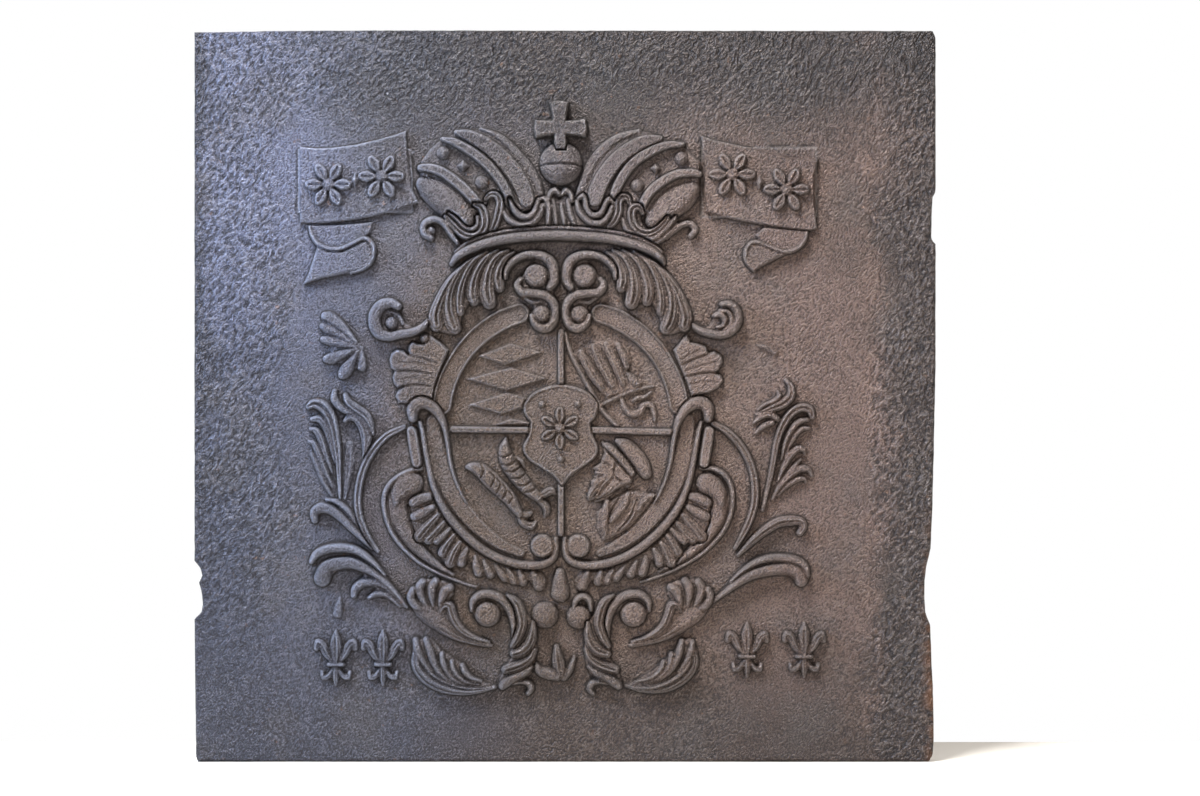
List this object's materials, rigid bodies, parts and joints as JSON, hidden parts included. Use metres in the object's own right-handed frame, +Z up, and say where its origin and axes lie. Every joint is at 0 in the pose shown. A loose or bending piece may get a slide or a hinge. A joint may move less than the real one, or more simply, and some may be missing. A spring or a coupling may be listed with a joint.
{
  "type": "fireback",
  "caption": "Cast-iron fireback: an upright plate with low relief of a crowned oval shield, straps, scrolls, acanthus leaves, banners and lilies.",
  "frame": {"origin": "middle of the foot's underside, at half the plate's thickness", "axes": "+X to the right seen from the front, +Y to the plain back, +Z up; the relief faces -Y"},
  "size_m": [0.743, 0.031, 0.7325],
  "materials": {
    "plate_iron": "rough sand-cast, waxed",
    "blue_grey_iron": "rough sand-cast, waxed",
    "grey_iron": "rough sand-cast, waxed",
    "brown_iron": "rough sand-cast, lightly rusted"
  },
  "bodies": {
    "root": {"back_plate": "plate_iron", "crown_cap_left": "blue_grey_iron", "crown_cap_right": "grey_iron", "crown_orb": "grey_iron", "crown_cross": "grey_iron", "crown_fleurons": "grey_iron", "crown_circlet": "grey_iron", "banner_left": "blue_grey_iron", "banner_right": "brown_iron", "banner_tail_left": "blue_grey_iron", "banner_tail_right": "brown_iron", "banner_rosettes_left": "blue_grey_iron", "banner_rosettes_right": "brown_iron", "top_volute_left": "blue_grey_iron", "top_volute_right": "grey_iron", "top_acanthus_left": "blue_grey_iron", "top_acanthus_right": "grey_iron", "horn_scroll_left": "blue_grey_iron", "horn_scroll_right": "brown_iron", "shell_left": "grey_iron", "shell_right": "brown_iron", "oval_moulding_left": "grey_iron", "oval_moulding_right": "brown_iron", "strap_scroll_left": "grey_iron", "strap_scroll_right": "brown_iron", "upright_bar_left": "grey_iron", "upright_bar_right": "brown_iron", "outer_scroll_left": "grey_iron", "outer_scroll_right": "brown_iron", "inner_scroll_left": "grey_iron", "inner_scroll_right": "brown_iron", "frill_left": "grey_iron", "frill_right": "brown_iron", "sprig_left": "blue_grey_iron", "sprig_right": "brown_iron", "hook_left": "blue_grey_iron", "hook_right": "brown_iron", "comma_left": "blue_grey_iron", "comma_right": "brown_iron", "bottom_acanthus_left": "grey_iron", "bottom_acanthus_right": "brown_iron", "bottom_leaf_left": "grey_iron", "bottom_leaf_right": "brown_iron", "bottom_volute_left": "grey_iron", "bottom_volute_right": "brown_iron", "bottom_frond_left": "grey_iron", "bottom_frond_right": "brown_iron", "bottom_knobs": "brown_iron", "palmette": "blue_grey_iron", "shield_bars": "grey_iron", "heart_shield": "brown_iron", "quarter_lozenges": "grey_iron", "quarter_pennon": "brown_iron", "quarter_fish": "grey_iron", "quarter_bust": "brown_iron", "lily_1": "blue_grey_iron", "lily_2": "blue_grey_iron", "lily_3": "brown_iron", "lily_4": "brown_iron"}
  },
  "joints": []
}
